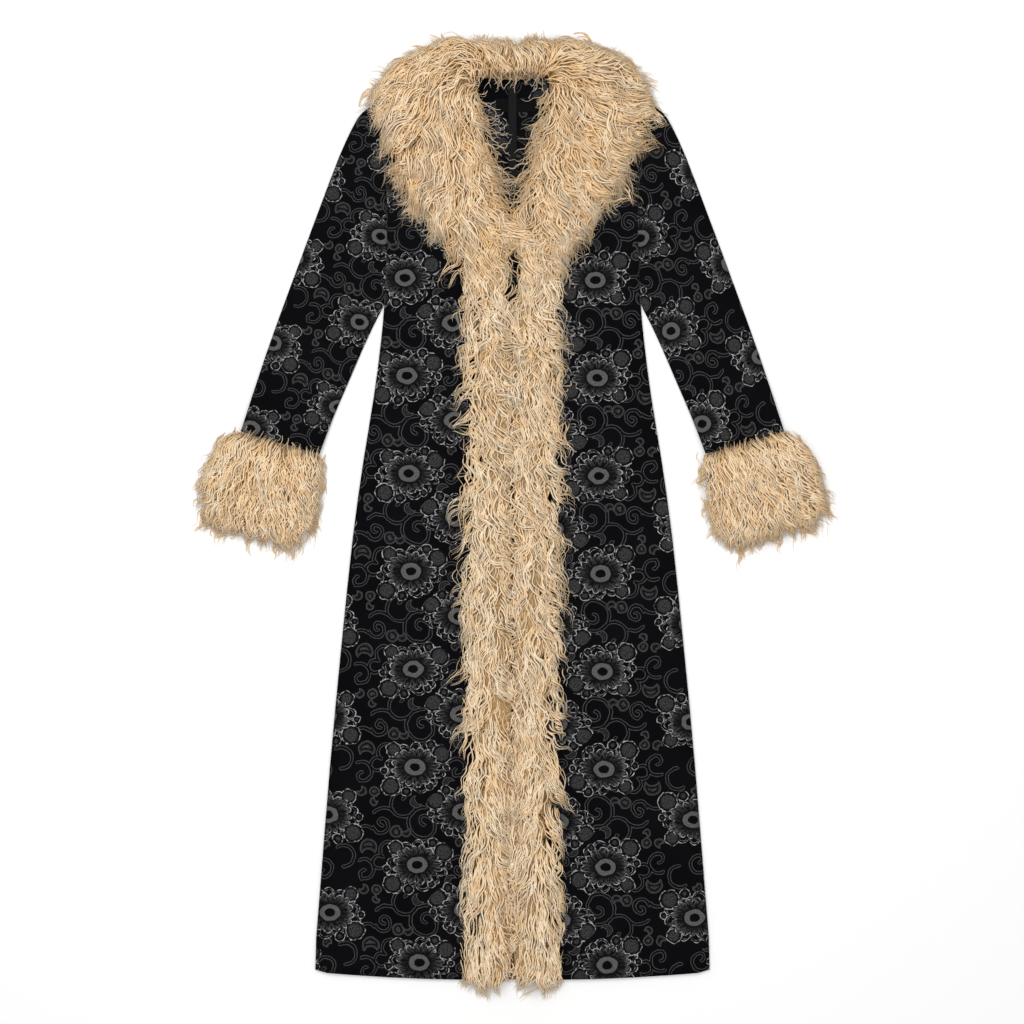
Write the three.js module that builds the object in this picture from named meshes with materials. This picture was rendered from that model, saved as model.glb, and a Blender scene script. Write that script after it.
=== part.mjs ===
import * as THREE from 'three';

// A maxi afghan coat laid flat on its back, front side up, with its collar towards +Y.
// Millimetres, +Z up, floor at z = 0, origin at the middle of the footprint.
// Left and right are the wearer's: the left side is +X.

const { clamp, lerp, smoothstep } = THREE.MathUtils;

// ---------- Cloth ----------

const clothThickness = 2;
const seamGap = 0.3;   // between two pieces that are sewn together
const hollow = 2.4;    // air between the back and the front, where an arm or a body goes
const frontUnder = clothThickness + hollow;        // underside of the upper layer, above the lower one's
const frontTop = frontUnder + clothThickness;

// ---------- Body ----------

// One row for each station, hem to shoulder. frontX, frontY: centre-front edge and V neckline.
// sideX, sideY: side seam, then armhole from the underarm up. backY: height on the centre-back seam.
const bodyStations = [
  { at: 'hem', frontX: 3, frontY: -701, sideX: 300.5, sideY: -689, backY: -701 },
  { at: 'calf', frontX: 3, frontY: -560, sideX: 290, sideY: -560, backY: -560 },
  { at: 'knee', frontX: 3, frontY: -380, sideX: 275.5, sideY: -380, backY: -380 },
  { at: 'thigh', frontX: 3, frontY: -200, sideX: 258.5, sideY: -200, backY: -200 },
  { at: 'seat', frontX: 3, frontY: -40, sideX: 241.5, sideY: -38, backY: -40 },
  { at: 'hip', frontX: 3, frontY: 80, sideX: 225, sideY: 82, backY: 80 },
  { at: 'waist', frontX: 3, frontY: 180, sideX: 209, sideY: 180, backY: 180 },
  { at: 'ribs', frontX: 3, frontY: 262, sideX: 198.5, sideY: 262, backY: 262 },
  { at: 'underarm', frontX: 3, frontY: 320, sideX: 193.5, sideY: 318, backY: 320 },
  { at: 'breast', frontX: 3, frontY: 398, sideX: 189.5, sideY: 400, backY: 398 },
  { at: 'chest', frontX: 29, frontY: 485, sideX: 190, sideY: 490, backY: 490 },
  { at: 'yoke', frontX: 58, frontY: 585, sideX: 199, sideY: 562, backY: 575 },
  { at: 'shoulder', frontX: 86, frontY: 668, sideX: 208, sideY: 618, backY: 655 },
];
const centreFrontX = 3;
const hemSag = 4;            // the hem hangs below a straight line by this much
const hemCornerRadius = 3;
const sideSeamTaper = 22;    // width over which the front comes down onto the back at a seam
const shoulderWidth = 208;
const neckPoint = { x: 86, y: 668 };
const backNeckDrop = 13;     // centre back below the neck points

// ---------- Sleeves ----------

// One row for each section, armhole to wrist, at its inner (body) edge and outer edge.
const sleeveSections = [
  { at: 'armhole', innerX: 194, innerY: 318, outerX: 208.5, outerY: 618.5 },
  { at: 'cap front', innerX: 197, innerY: 311, outerX: 227, outerY: 606 },
  { at: 'cap edge', innerX: 201, innerY: 303, outerX: 241, outerY: 585 },
  { at: 'upper arm', innerX: 212, innerY: 281, outerX: 262, outerY: 540 },
  { at: 'biceps', innerX: 228, innerY: 246, outerX: 296, outerY: 450 },
  { at: 'elbow', innerX: 249, innerY: 197, outerX: 335, outerY: 345 },
  { at: 'forearm', innerX: 270, innerY: 148, outerX: 372, outerY: 242 },
  { at: 'wrist', innerX: 291, innerY: 92, outerX: 409.5, outerY: 126 },
];
const sleeveRingPoints = 24;
const armholeGap = 0.5;
const wristLift = 7;         // the cuff's fur under the wrist holds the sleeve off the floor
const wristLiftFrom = 0.8;   // share of the sleeve's length where it starts to rise

// ---------- Fur cuffs ----------

// One row for each ring, down the arm from the wrist seam: half-widths on the body side and
// the outer side of the arm, and the heights of its top and underside.
const cuffRings = [
  { down: 0.3, body: 64, outer: 64, top: 19, under: 3 },
  { down: 7, body: 70, outer: 74, top: 31, under: 0 },
  { down: 22, body: 75, outer: 87, top: 42, under: 0 },
  { down: 48, body: 80, outer: 95, top: 48, under: 0 },
  { down: 80, body: 85, outer: 98, top: 49, under: 0 },
  { down: 110, body: 83, outer: 96, top: 45, under: 0 },
  { down: 132, body: 77, outer: 90, top: 37, under: 0 },
  { down: 144, body: 68, outer: 78, top: 28, under: 0 },
  { down: 151, body: 59, outer: 66, top: 19, under: 2 },
];
const cuffRingPoints = 28;
const cuffMouth = { atWrist: 56, atEnd: 55, height: hollow };   // the hand opening's half-widths

// ---------- Fur collar ----------

// One row for each section of the shawl collar's half, from its foot on the chest round to the
// centre-back seam: its inner edge at the neck, its outer edge, and the fur's height.
const collarSections = [
  { at: 'foot', innerX: 1.5, innerY: 384, outerX: 80, outerY: 384, height: 30 },
  { at: 'crossing', innerX: 1.5, innerY: 415, outerX: 97, outerY: 398, height: 35 },
  { at: 'V bottom', innerX: 5, innerY: 447, outerX: 118, outerY: 424, height: 40 },
  { at: 'lapel', innerX: 13, innerY: 480, outerX: 141, outerY: 458, height: 44 },
  { at: 'chest', innerX: 22, innerY: 515, outerX: 166, outerY: 495, height: 47 },
  { at: 'wide', innerX: 31, innerY: 550, outerX: 191, outerY: 545, height: 49 },
  { at: 'armhole', innerX: 39, innerY: 582, outerX: 206, outerY: 588, height: 49 },
  { at: 'shoulder tip', innerX: 44, innerY: 607, outerX: 213, outerY: 619, height: 48 },
  { at: 'shoulder', innerX: 47, innerY: 629, outerX: 201, outerY: 651, height: 47 },
  { at: 'shoulder top', innerX: 50, innerY: 646, outerX: 176, outerY: 682, height: 45 },
  { at: 'neck side', innerX: 50, innerY: 657, outerX: 136, outerY: 703, height: 42 },
  { at: 'neck', innerX: 44, innerY: 662, outerX: 88, outerY: 720, height: 38 },
  { at: 'back neck', innerX: 26, innerY: 663, outerX: 44, outerY: 717, height: 33 },
  { at: 'centre back', innerX: 0.2, innerY: 663, outerX: 0.2, outerY: 711, height: 30 },
];
const collarSteps = 2;        // rings for each row of the table
const collarTopPoints = 13;
const shoulderDrop = { from: 6, to: 17 };   // how far outside the shoulder line the fur sinks

// ---------- Collar fall, folded under the back ----------

const fallThickness = 10;
const fallDepthAtCentre = 170;
const fallRise = 60;          // the fall's lower edge is this much higher at the shoulders
const fallTaper = 70;         // the fur thins out over this much of its lower edge
const fallRings = 25;
// Outer edge of the fall, centre back to shoulder tip.
const fallOutline = [
  { x: 0, y: 711 }, { x: 44, y: 717 }, { x: 88, y: 719 }, { x: 136, y: 702 },
  { x: 176, y: 681 }, { x: 201, y: 650 }, { x: 212, y: 620 },
];

// ---------- Fur down the fronts ----------

const band = { inner: 1, outer: 79, top: 383.4, height: 32, steps: 60, topPoints: 11 };
// The tip that hangs past the hem, from its end upwards: how far each edge pulls in.
const bandTip = [
  { y: -720, innerIn: 17, outerIn: 22, height: 12, under: 1 },
  { y: -715, innerIn: 7, outerIn: 11, height: 20, under: 1 },
  { y: -709, innerIn: 3, outerIn: 5, height: 26, under: 1 },
  { y: -702.4, innerIn: 1, outerIn: 2, height: 30, under: frontTop + seamGap },
];

// Soft tufts raised in the fur's upper side, in staggered rows.
const tuft = { width: 21, length: 54, depth: 4.5 };
const outlineWave = { length: 54, depth: 2.5 };

// ---------- Label and seam tape inside the back ----------

const label = { width: 60, height: 20, thickness: 0.6, centreX: 5, centreY: 617 };
const tape = { width: 12, thickness: 0.6, top: 652, bottom: -698, clear: 1, climb: 6 };

// ---------- Materials ----------

const velvet = new THREE.MeshStandardMaterial({ color: 0x17171a, roughness: 0.9, metalness: 0 });
const fur = new THREE.MeshStandardMaterial({ color: 0xd2b48c, roughness: 0.95, metalness: 0 });
const satin = new THREE.MeshStandardMaterial({ color: 0x101013, roughness: 0.45, metalness: 0 });
const twill = new THREE.MeshStandardMaterial({ color: 0x232327, roughness: 0.8, metalness: 0 });

// ---------- Shared shapes ----------

// A closed solid from points and triangles, turned so that its faces point out.
function closedGeometry(points, triangles) {
  const volume = triangles.reduce((sum, [a, b, c]) => {
    const [p, q, r] = [points[a], points[b], points[c]];
    return sum + p.dot(new THREE.Vector3().crossVectors(q, r));
  }, 0);
  const index = triangles.flatMap(([a, b, c]) => (volume > 0 ? [a, b, c] : [a, c, b]));
  const geometry = new THREE.BufferGeometry().setFromPoints(points);
  geometry.setIndex(index);
  geometry.computeVertexNormals();
  return geometry;
}

// Two triangles for the four-sided face a, b, c, d.
const quad = (a, b, c, d) => [[a, b, c], [a, c, d]];

// A solid through rings that all have the same number of points, with its two ends capped.
function loft(rings) {
  const count = rings[0].length;
  const points = rings.flat();
  const triangles = [];
  for (let ring = 0; ring < rings.length - 1; ring++) {
    for (let i = 0; i < count; i++) {
      const next = (i + 1) % count;
      const here = ring * count;
      triangles.push(...quad(here + i, here + next, here + count + next, here + count + i));
    }
  }
  for (const [start, flip] of [[0, true], [(rings.length - 1) * count, false]]) {
    const centre = points.slice(start, start + count)
      .reduce((sum, point) => sum.add(point), new THREE.Vector3()).divideScalar(count);
    points.push(centre);
    for (let i = 0; i < count; i++) {
      const a = start + i;
      const b = start + (i + 1) % count;
      triangles.push(flip ? [points.length - 1, b, a] : [points.length - 1, a, b]);
    }
  }
  return closedGeometry(points, triangles);
}

// A tube with a wall: outer and inner rings of the same count, joined at its two open ends.
function tubeWall(outerRings, innerRings) {
  const count = outerRings[0].length;
  const last = outerRings.length - 1;
  const points = [...outerRings.flat(), ...innerRings.flat()];
  const inside = outerRings.length * count;
  const triangles = [];
  for (let i = 0; i < count; i++) {
    const next = (i + 1) % count;
    for (let ring = 0; ring < last; ring++) {
      const here = ring * count;
      const there = here + count;
      triangles.push(...quad(here + i, here + next, there + next, there + i));
      triangles.push(...quad(inside + here + next, inside + here + i, inside + there + i, inside + there + next));
    }
    triangles.push(...quad(next, i, inside + i, inside + next));
    const end = last * count;
    triangles.push(...quad(end + i, end + next, inside + end + next, inside + end + i));
  }
  return closedGeometry(points, triangles);
}

// A sheet with a wall: an upper and a lower face over the same grid, joined round its rim.
function sheetWall(across, along, upper, lower) {
  const columns = across.length;
  const points = [];
  for (const face of [upper, lower]) {
    for (const v of along) for (const u of across) points.push(face(u, v));
  }
  const under = columns * along.length;
  const triangles = [];
  for (let row = 0; row < along.length - 1; row++) {
    for (let col = 0; col < columns - 1; col++) {
      const a = row * columns + col;
      const [b, c, d] = [a + 1, a + columns + 1, a + columns];
      triangles.push(...quad(a, b, c, d), ...quad(under + d, under + c, under + b, under + a));
    }
  }
  const rim = [];
  for (let col = 0; col < columns - 1; col++) rim.push(col);
  for (let row = 0; row < along.length - 1; row++) rim.push(row * columns + columns - 1);
  for (let col = columns - 1; col > 0; col--) rim.push((along.length - 1) * columns + col);
  for (let row = along.length - 1; row > 0; row--) rim.push(row * columns);
  rim.forEach((a, i) => {
    const b = rim[(i + 1) % rim.length];
    triangles.push(...quad(b, a, under + a, under + b));
  });
  return closedGeometry(points, triangles);
}

// A smooth line through two columns of a table, read from 0 (first row) to 1 (last row).
function edgeLine(rows, xColumn, yColumn) {
  const spline = new THREE.SplineCurve(rows.map((row) => new THREE.Vector2(row[xColumn], row[yColumn])));
  return (t) => spline.getPoint(clamp(t, 0, 1));
}

// A column of a table as a smooth number, read from 0 (first row) to 1 (last row).
function columnValue(rows, column) {
  const spline = new THREE.SplineCurve(rows.map((row, i) => new THREE.Vector2(i, row[column])));
  return (t) => spline.getPoint(clamp(t, 0, 1)).y;
}

const steps = (count) => Array.from({ length: count + 1 }, (_, i) => i / count);

const mirrored = (side) => (x, y, z) => new THREE.Vector3(side * x, y, z);

// Height of the staggered tufts at a place measured in millimetres across and along the fur.
function tuftHeight(across, along) {
  return tuft.depth * Math.cos((Math.PI * across) / tuft.width) * Math.cos((Math.PI * along) / tuft.length);
}

// ---------- How high the cloth lies above the floor ----------

const fallEdgeY = (x) => 711 - fallDepthAtCentre + fallRise * (x / shoulderWidth) ** 2;

// The folded-under fall holds the shoulders off the floor.
function lift(x, y) {
  const edge = fallEdgeY(x);
  return (fallThickness + seamGap) * smoothstep(y, edge - 75, edge + 40);
}

// Back neckline and shoulder seam, as the highest y of the body at x.
function bodyTopY(x) {
  if (x < neckPoint.x) return neckPoint.y - backNeckDrop * (1 - (x / neckPoint.x) ** 2);
  const down = (x - neckPoint.x) / (shoulderWidth - neckPoint.x);
  return lerp(neckPoint.y, bodyStations.at(-1).sideY, down);
}

// ---------- Body panels ----------

const frontEdge = edgeLine(bodyStations, 'frontX', 'frontY');
const sideEdge = edgeLine(bodyStations, 'sideX', 'sideY');
const backSeamY = columnValue(bodyStations, 'backY');
const stationAt = (name) => bodyStations.findIndex((row) => row.at === name) / (bodyStations.length - 1);
const underarmAt = stationAt('underarm');
const yokeAt = stationAt('yoke');
const panelRows = steps((bodyStations.length - 1) * 2);

// The hem's sag and rounded corner, which fade out above it.
function hemShape(point, u, v) {
  const near = 1 - smoothstep(v, 0, stationAt('calf'));
  const corner = v === 0 && u === 1 ? hemCornerRadius : 0;
  return new THREE.Vector2(point.x - corner, point.y - near * hemSag * 4 * u * (1 - u) + corner);
}

function frontPoint(u, v) {
  const inner = frontEdge(v);
  inner.x = Math.max(inner.x, centreFrontX);
  return hemShape(inner.lerp(sideEdge(v), u), u, v);
}

function backPoint(u, v) {
  const seam = new THREE.Vector2(seamGap / 2, backSeamY(v));
  const flat = hemShape(seam.lerp(sideEdge(v), u), u, v);
  const topRow = new THREE.Vector2(seamGap / 2, backSeamY(1)).lerp(sideEdge(1), u);
  const rise = bodyTopY(topRow.x) - topRow.y;
  flat.y += rise * clamp((v - yokeAt) / (1 - yokeAt), 0, 1);
  return flat;
}

// Underside of the front above the back's: it comes down onto the back at each seam.
function frontRise(u, v) {
  const { x, y } = frontPoint(u, v);
  const toSide = sideEdge(v).x - x;
  const alongSide = v <= underarmAt ? smoothstep(toSide, 0, sideSeamTaper) : 1;
  const toShoulder = bodyTopY(Math.max(x, neckPoint.x)) - y;
  const alongShoulder = smoothstep(toShoulder, 0, sideSeamTaper);
  const gap = lerp(seamGap, hollow, alongSide * alongShoulder);
  return clothThickness + gap;
}

function frontPanel(side) {
  const at = mirrored(side);
  const face = (above) => (u, v) => {
    const { x, y } = frontPoint(u, v);
    return at(x, y, lift(x, y) + frontRise(u, v) + above);
  };
  return sheetWall([0, 0.2, 0.4, 0.6, 0.8, 0.93, 1], panelRows, face(clothThickness), face(0));
}

function backPanel(side) {
  const at = mirrored(side);
  const face = (above) => (u, v) => {
    const { x, y } = backPoint(u, v);
    return at(x, y, lift(x, y) + above);
  };
  const neckShare = neckPoint.x / shoulderWidth;
  return sheetWall([0, 0.2, neckShare, 0.6, 0.8, 1], panelRows, face(clothThickness), face(0));
}

// ---------- Sleeves ----------

const innerArm = edgeLine(sleeveSections, 'innerX', 'innerY');
const outerArm = edgeLine(sleeveSections, 'outerX', 'outerY');

// A point of the sleeve's outline: share 0 is its body edge and 1 its outer edge. The cap's
// straight section is bowed onto the armhole, and the bow fades out down the arm.
function sleevePoint(share, down) {
  const point = innerArm(down).lerp(outerArm(down), share);
  const straight = innerArm(0).lerp(outerArm(0), share);
  const bow = sideEdge(lerp(underarmAt, 1, share)).sub(straight);
  bow.x += armholeGap;
  return point.addScaledVector(bow, (1 - down) ** 4);
}

// How full a flattened tube is at an angle round it: flat over most of it, round at its edges.
const flatTube = (angle) => Math.sign(Math.sin(angle)) * Math.sqrt(Math.min(1, Math.abs(Math.sin(angle)) / 0.57));

function sleeveRing(side, down, wall) {
  const at = mirrored(side);
  const edgeWidth = innerArm(down).distanceTo(outerArm(down));
  const half = frontTop / 2;
  return Array.from({ length: sleeveRingPoints }, (_, i) => {
    const angle = (2 * Math.PI * i) / sleeveRingPoints;
    const across = Math.cos(angle) * (1 - (2 * wall) / edgeWidth);
    const { x, y } = sleevePoint((1 + across) / 2, down);
    const floor = lift(x, y) + wristLift * smoothstep(down, wristLiftFrom, 1);
    return at(x, y, floor + half + flatTube(angle) * (half - wall));
  });
}

function sleeve(side) {
  const sections = steps((sleeveSections.length - 1) * 2);
  const outer = sections.map((down) => sleeveRing(side, down, 0));
  const inner = sections.map((down) => sleeveRing(side, down, clothThickness));
  return tubeWall(outer, inner);
}

// ---------- Cuffs ----------

const wristInner = innerArm(1);
const wristOuter = outerArm(1);
const wristMiddle = wristInner.clone().lerp(wristOuter, 0.5);
const wristAcross = wristOuter.clone().sub(wristInner).normalize();
const wristDown = new THREE.Vector2(wristAcross.y, -wristAcross.x);

// A place on the cuff: across the arm towards its outer side, and down from the wrist seam.
function cuffPlace(across, down) {
  return wristMiddle.clone().addScaledVector(wristAcross, across).addScaledVector(wristDown, down);
}

function cuff(side) {
  const at = mirrored(side);
  const middle = wristLift + frontTop / 2;
  const angles = Array.from({ length: cuffRingPoints }, (_, i) => (2 * Math.PI * i) / cuffRingPoints);
  const outer = cuffRings.map(({ down, body, outer: far, top, under }, row) => angles.map((angle) => {
    const cosine = Math.cos(angle);
    const across = cosine * (cosine > 0 ? far : body);
    const full = Math.sin(angle) > 0 ? Math.sin(angle) ** 0.62 : flatTube(angle);
    const reach = full > 0 ? top - middle : middle - under;
    const inBody = row > 1 && row < cuffRings.length - 1;
    const raised = full > 0 && inBody ? tuftHeight(across, down) * full : 0;
    const { x, y } = cuffPlace(across, down);
    return at(x, y, middle + full * reach + raised);
  }));
  const inner = cuffRings.map(({ down }, row) => angles.map((angle) => {
    const width = lerp(cuffMouth.atWrist, cuffMouth.atEnd, row / (cuffRings.length - 1));
    const { x, y } = cuffPlace(Math.cos(angle) * width, down);
    return at(x, y, middle + (flatTube(angle) * cuffMouth.height) / 2);
  }));
  return tubeWall(outer, inner);
}

// ---------- Fur sections ----------

// The fur's height over its width: steep at the folded edge, thinning out towards the tips.
function furProfile(share, crest, tipHeight) {
  if (share < crest) return Math.sqrt(1 - ((crest - share) / crest) ** 2);
  return 1 - (1 - tipHeight) * ((share - crest) / (1 - crest)) ** 2;
}

// Shares across a fur's upper side, closer together at its two edges.
const topShares = (count) => Array.from({ length: count }, (_, i) => (1 - Math.cos((Math.PI * i) / (count - 1))) / 2);

// ---------- Collar ----------

const collarInner = edgeLine(collarSections, 'innerX', 'innerY');
const collarOuter = edgeLine(collarSections, 'outerX', 'outerY');
const collarHeight = columnValue(collarSections, 'height');

// Share of a collar section at which it leaves the body over the shoulder or the neckline.
function leavesBody(inner, outer) {
  const outside = (share) => {
    const point = inner.clone().lerp(outer, share);
    return point.y > bodyTopY(Math.min(point.x, shoulderWidth)) || point.x > shoulderWidth + 4;
  };
  return steps(100).find(outside) ?? 1.5;
}

// What the collar lies on: the front panel, and the fall outside the body's edge.
function underCollar(x, y, outsideBy) {
  const overCloth = lift(x, y + 14) + frontTop + seamGap;
  const overFall = fallThickness + 2 * seamGap;
  return lerp(overCloth, overFall, smoothstep(outsideBy, shoulderDrop.from, shoulderDrop.to));
}

function collarRing(side, t) {
  const at = mirrored(side);
  const inner = collarInner(t);
  const outer = collarOuter(t);
  inner.x = Math.max(inner.x, seamGap / 2);
  outer.x = Math.max(outer.x, seamGap / 2);
  const width = inner.distanceTo(outer);
  const leaves = leavesBody(inner, outer);
  const place = (share) => {
    const point = inner.clone().lerp(outer, share);
    return { ...point, under: underCollar(point.x, point.y, (share - leaves) * width) };
  };
  const along = t * collarSections.length * 46;
  const inEnds = smoothstep(t, 0, 0.05) * (1 - smoothstep(t, 0.95, 1));
  const upper = topShares(collarTopPoints).map((share) => {
    const { x, y, under } = place(share);
    const full = furProfile(share, 0.3, 0.3);
    const raised = tuftHeight(share * width, along) * inEnds * Math.sin(Math.PI * share);
    return at(x, y, Math.max(under + 2, fallThickness + collarHeight(t) * full + raised - 2));
  });
  const edge = Math.min(leaves, 0.98) + shoulderDrop.from / width;
  const past = edge + (shoulderDrop.to - shoulderDrop.from) / width;
  const lowerShares = leaves < 0.02
    ? [0.98, 0.75, 0.5, 0.25, 0.02]
    : [0.99, Math.min(past, 0.98), Math.min(edge, 0.95), Math.min(edge, 0.95) * 0.5, 0.01];
  const lower = lowerShares.map((share) => {
    const { x, y, under } = place(share);
    return at(x, y, under);
  });
  return [...upper, ...lower];
}

function collar(side) {
  return loft(steps((collarSections.length - 1) * collarSteps).map((t) => collarRing(side, t)));
}

// The fall is one piece from shoulder to shoulder, pressed flat under the back.
function collarFall() {
  const half = edgeLine(fallOutline, 'x', 'y');
  const rings = Array.from({ length: fallRings }, (_, i) => {
    const share = (2 * i) / (fallRings - 1) - 1;
    const top = half(Math.abs(share));
    const x = Math.sign(share) * Math.min(top.x, shoulderWidth + 3);
    const low = fallEdgeY(Math.abs(x));
    const upperY = [0, 0.08, 0.2, 0.4, 0.7, 0.95, 1].map((s) => lerp(low, top.y, s));
    const upper = upperY.map((y, row) => {
      const thick = fallThickness * smoothstep(y, low - 12, low + fallTaper);
      return new THREE.Vector3(x, y, row === upperY.length - 1 ? fallThickness * 0.6 : Math.max(thick, 1));
    });
    const lower = [0.97, 0.65, 0.3, 0.03].map((s) => new THREE.Vector3(x, lerp(low, top.y, s), 0));
    return [...upper, ...lower];
  });
  return loft(rings);
}

// ---------- Bands down the fronts ----------

function bandRing(side, { y, innerIn, outerIn, height, under }) {
  const at = mirrored(side);
  const wave = outlineWave.depth * Math.sin((2 * Math.PI * y) / outlineWave.length);
  const from = band.inner + innerIn;
  const to = band.outer - outerIn + wave;
  const upper = topShares(band.topPoints).map((share) => {
    const x = lerp(from, to, share);
    const full = furProfile(share, 0.34, 0.32);
    const raised = tuftHeight(x - 14, y) * Math.sin(Math.PI * share);
    return at(x, y, under + Math.max(2, height * full + raised));
  });
  const lower = [0.98, 0.65, 0.33, 0.02].map((share) => at(lerp(from, to, share), y, under));
  return [...upper, ...lower];
}

function frontBand(side) {
  const under = frontTop + seamGap;
  const start = bandTip.at(-1).y + 9;
  const rows = steps(band.steps).map((t) => (
    { y: lerp(start, band.top, t), innerIn: 0, outerIn: 0, height: band.height, under }
  ));
  return loft([...bandTip, ...rows].map((row) => bandRing(side, row)));
}

// ---------- Label and tape ----------

// Height of the back's inner face along its centre seam, where a label or tape is sewn on.
const backSeam = panelRows.map((v) => backPoint(0, v));
function onBack(y) {
  const above = clamp(backSeam.findIndex((point) => point.y >= y), 1, backSeam.length - 1);
  const [low, high] = [backSeam[above - 1], backSeam[above]];
  const floor = lerp(lift(low.x, low.y), lift(high.x, high.y), (y - low.y) / (high.y - low.y));
  return floor + clothThickness + seamGap;
}

function neckLabel() {
  const { width, height, thickness, centreX, centreY } = label;
  const face = (above) => (u, v) => {
    const y = centreY + (v - 0.5) * height;
    return new THREE.Vector3(centreX + (u - 0.5) * width, y, onBack(y) + above);
  };
  return sheetWall(steps(4), steps(2), face(thickness), face(0));
}

// The tape follows the back's own rows, and climbs over the label.
function seamTape() {
  const inside = (y) => y > tape.bottom && y < tape.top;
  const overLabel = [-1, 1].flatMap((end) => [tape.clear, tape.climb].map((past) => (
    label.centreY + end * (label.height / 2 + past))));
  const rows = [tape.bottom, tape.top, ...overLabel, ...backSeam.map((point) => point.y).filter(inside)];
  rows.sort((a, b) => a - b);
  const climb = (y) => {
    const past = Math.abs(y - label.centreY) - label.height / 2;
    return (label.thickness + seamGap) * (1 - smoothstep(past, tape.clear, tape.climb));
  };
  const face = (above) => (u, y) => (
    new THREE.Vector3((u - 0.5) * tape.width, y, onBack(y) + climb(y) + above));
  return sheetWall([0, 1], rows, face(tape.thickness), face(0));
}

// ---------- The coat ----------

const coat = new THREE.Group();

function add(name, geometry, material) {
  const mesh = new THREE.Mesh(geometry, material);
  mesh.name = name;
  coat.add(mesh);
}

for (const [name, side] of [['left', 1], ['right', -1]]) {
  add(`back_${name}`, backPanel(side), velvet);
  add(`front_${name}`, frontPanel(side), velvet);
  add(`sleeve_${name}`, sleeve(side), velvet);
  add(`fur_cuff_${name}`, cuff(side), fur);
  add(`fur_collar_${name}`, collar(side), fur);
  add(`fur_front_${name}`, frontBand(side), fur);
}
add('fur_collar_fall', collarFall(), fur);
add('neck_label', neckLabel(), satin);
add('back_seam_tape', seamTape(), twill);

export default coat;
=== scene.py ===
# An afghan coat laid flat on its back on a pale floor: printed black velvet, with a shaggy
# curly fur collar, front bands and cuffs. Metres, +Z up, collar towards +Y.
import math

import bmesh
import bpy
import numpy as np
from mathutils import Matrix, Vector
from mathutils.bvhtree import BVHTree


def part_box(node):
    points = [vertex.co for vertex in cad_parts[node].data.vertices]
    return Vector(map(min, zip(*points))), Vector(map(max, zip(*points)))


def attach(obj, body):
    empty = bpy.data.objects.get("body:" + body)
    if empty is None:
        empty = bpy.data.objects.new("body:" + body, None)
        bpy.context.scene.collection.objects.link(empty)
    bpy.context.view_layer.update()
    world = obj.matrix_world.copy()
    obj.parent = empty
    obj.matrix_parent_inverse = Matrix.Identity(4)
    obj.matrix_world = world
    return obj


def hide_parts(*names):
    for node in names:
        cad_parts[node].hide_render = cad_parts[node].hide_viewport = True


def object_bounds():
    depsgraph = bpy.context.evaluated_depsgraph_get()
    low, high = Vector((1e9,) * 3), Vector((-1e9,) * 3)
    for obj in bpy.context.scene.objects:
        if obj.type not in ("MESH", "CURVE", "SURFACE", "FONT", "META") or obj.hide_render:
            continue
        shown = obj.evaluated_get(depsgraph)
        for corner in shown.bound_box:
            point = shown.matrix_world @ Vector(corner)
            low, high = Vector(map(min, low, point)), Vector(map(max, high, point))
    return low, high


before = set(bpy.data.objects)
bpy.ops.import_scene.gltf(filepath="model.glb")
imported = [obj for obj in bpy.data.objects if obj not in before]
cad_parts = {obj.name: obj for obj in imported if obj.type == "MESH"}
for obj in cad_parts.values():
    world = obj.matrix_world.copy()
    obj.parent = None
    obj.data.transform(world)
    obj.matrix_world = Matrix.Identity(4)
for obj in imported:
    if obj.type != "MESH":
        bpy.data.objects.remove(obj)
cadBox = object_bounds()
bpy.ops.object.select_all(action="DESELECT")

mm = 0.001
sides = {"left": 1, "right": -1}  # the wearer's left is +X
print("frame loaded")


class Link:
    # A socket of a node tree. Numbers and links mix freely in its expressions.
    def __init__(self, tree, socket=None):
        self.tree, self.socket = tree, socket

    def node(self, kind, settings={}, sockets={}, out=0):
        made = self.tree.nodes.new(kind)
        for name, value in settings.items():
            setattr(made, name, value)
        for name, value in sockets.items():
            if isinstance(value, Link):
                self.tree.links.new(made.inputs[name], value.socket)
            else:
                made.inputs[name].default_value = value
        return Link(self.tree, made.outputs[out])

    def maths(self, operation, *values, clamp=False):
        settings = {"operation": operation, "use_clamp": clamp}
        return self.node("ShaderNodeMath", settings, dict(enumerate(values)))

    def vectorMaths(self, operation, *values, out=0):
        return self.node("ShaderNodeVectorMath", {"operation": operation}, dict(enumerate(values)), out)

    def __add__(self, other):
        return self.maths("ADD", self, other)

    def __sub__(self, other):
        return self.maths("SUBTRACT", self, other)

    def __mul__(self, other):
        return self.maths("MULTIPLY", self, other)

    def __truediv__(self, other):
        return self.maths("DIVIDE", self, other)

    def __rsub__(self, other):
        return self.maths("SUBTRACT", other, self)

    def __rtruediv__(self, other):
        return self.maths("DIVIDE", other, self)

    __radd__, __rmul__ = __add__, __mul__

    def __abs__(self):
        return self.maths("ABSOLUTE", self)

    def sine(self):
        return self.maths("SINE", self)

    def root(self):
        return self.maths("SQRT", self)

    def fract(self):
        return self.maths("FRACT", self)

    def least(self, other):
        return self.maths("MINIMUM", self, other)

    def most(self, other):
        return self.maths("MAXIMUM", self, other)

    def inside(self, edge=0.4):  # 1 where this is above zero, with a soft edge
        return self.maths("MULTIPLY_ADD", self, 1 / edge, 0.5, clamp=True)

    def parts(self):
        made = self.tree.nodes.new("ShaderNodeSeparateXYZ")
        self.tree.links.new(made.inputs[0], self.socket)
        return [Link(self.tree, socket) for socket in made.outputs]

    def noise(self, scale, detail=2.0, out=0, **sockets):
        sockets = {"Vector": self, "Scale": scale, "Detail": detail, **sockets}
        return self.node("ShaderNodeTexNoise", {}, sockets, out)

    def bump(self, strength, distance):  # this height as a normal
        sockets = {"Strength": strength, "Distance": distance, "Height": self}
        return self.node("ShaderNodeBump", {}, sockets)


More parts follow.
